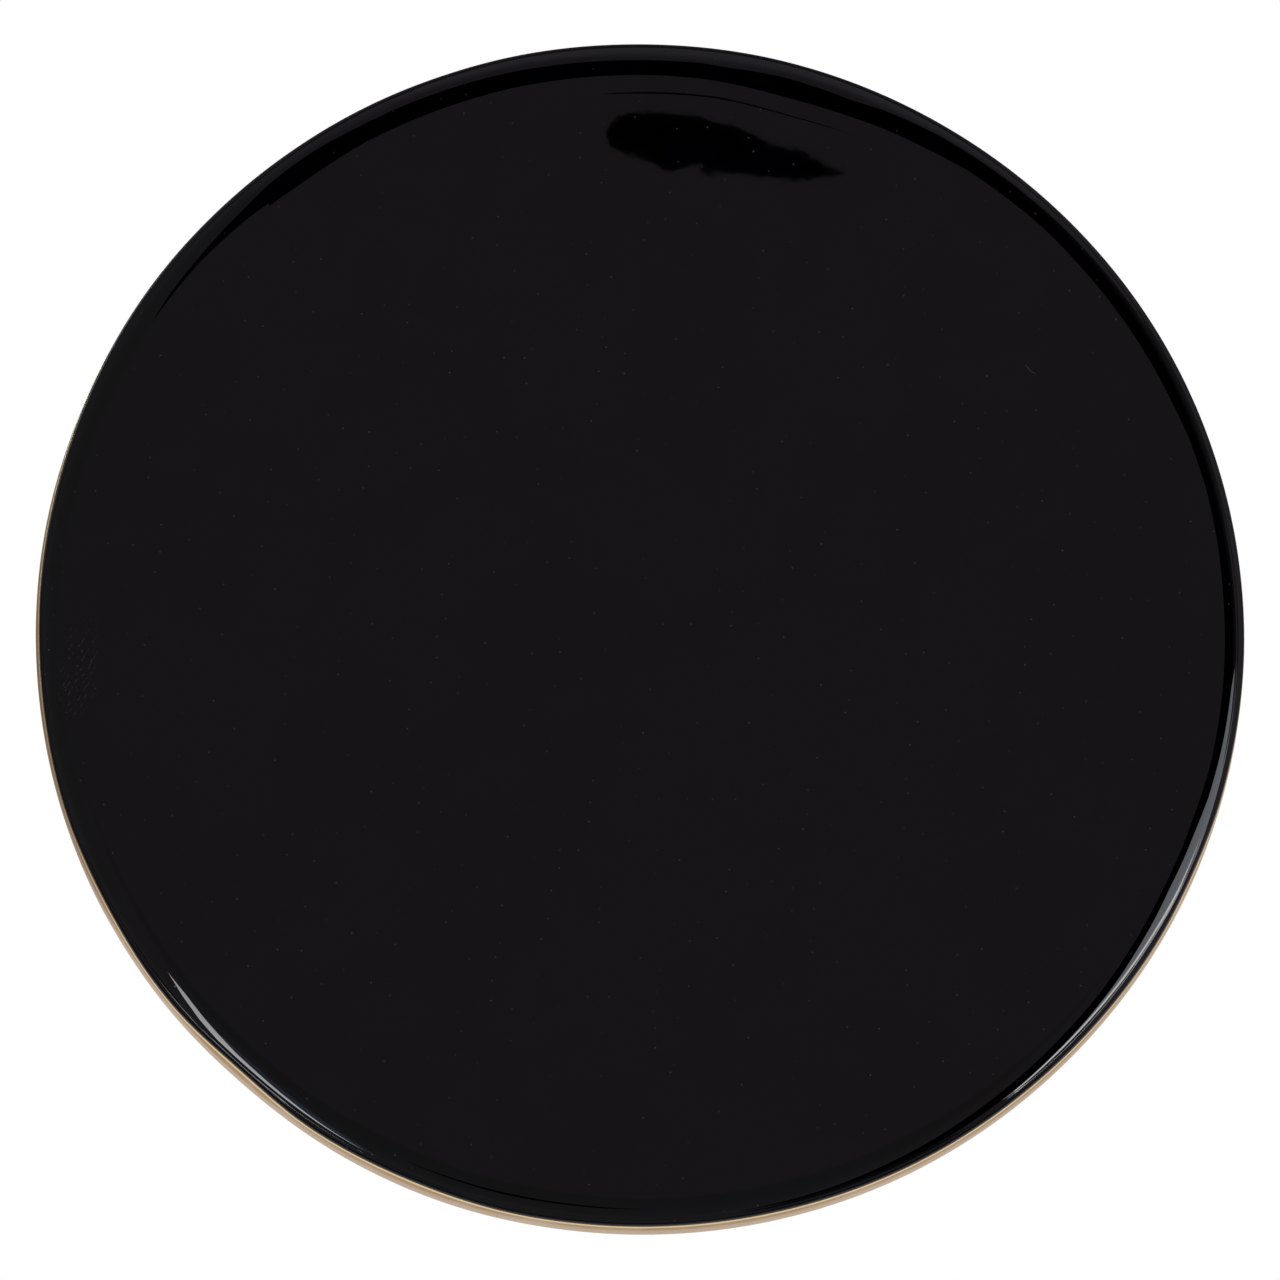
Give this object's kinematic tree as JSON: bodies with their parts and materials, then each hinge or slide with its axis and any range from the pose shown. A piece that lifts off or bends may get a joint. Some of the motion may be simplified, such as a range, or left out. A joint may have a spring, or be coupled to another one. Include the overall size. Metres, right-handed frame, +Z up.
{
  "type": "serving tray",
  "caption": "Round shallow serving tray: black poured enamel dish with a soft raised lip, satin gold metal outer wall and small bumper feet.",
  "frame": {"origin": "centre of the tray on the surface that the feet stand on", "axes": "+Z up, along the axis of the round tray; +X and +Y lie between the feet"},
  "size_m": [0.4, 0.4, 0.0175],
  "materials": {
    "gold_metal": "satin champagne-gold finish on cast metal",
    "black_enamel": "high-gloss poured black enamel",
    "foot_rubber": "soft matt rubber",
    "clear_adhesive": "thin clear adhesive film"
  },
  "bodies": {
    "root": {"tray_body": "gold_metal", "enamel_coat": "black_enamel", "bumper_foot_1": "foot_rubber", "bumper_foot_2": "foot_rubber", "bumper_foot_3": "foot_rubber", "bumper_foot_4": "foot_rubber", "foot_adhesive_1": "clear_adhesive", "foot_adhesive_2": "clear_adhesive", "foot_adhesive_3": "clear_adhesive", "foot_adhesive_4": "clear_adhesive"}
  },
  "joints": []
}
